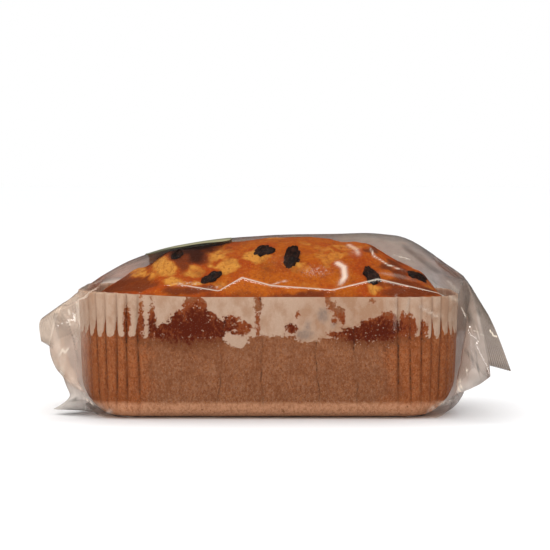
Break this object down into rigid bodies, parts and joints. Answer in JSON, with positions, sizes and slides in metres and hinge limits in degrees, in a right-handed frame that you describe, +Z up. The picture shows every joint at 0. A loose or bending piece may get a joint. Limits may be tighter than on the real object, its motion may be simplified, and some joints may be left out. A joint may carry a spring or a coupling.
{
  "type": "packaged loaf cake",
  "caption": "Raisin loaf cake in a pleated paper case, sealed in a clear flow-wrap bag with crimped ends and a small label on top.",
  "frame": {"origin": "middle of the flat base that the pack stands on", "axes": "+X along the loaf towards the long drooping fin, +Y away from the front long side, +Z up"},
  "size_m": [0.2108, 0.12, 0.0831],
  "materials": {
    "film": "clear glossy film, creased",
    "label": "semi-gloss coated paper",
    "paper_case": "matt baking paper, soaked brown below and dry above",
    "cake": "baked crust, satin",
    "raisin": "dark wrinkled skin, satin"
  },
  "bodies": {
    "root": {"film_bag": "film", "label": "label"}
  },
  "joints": []
}
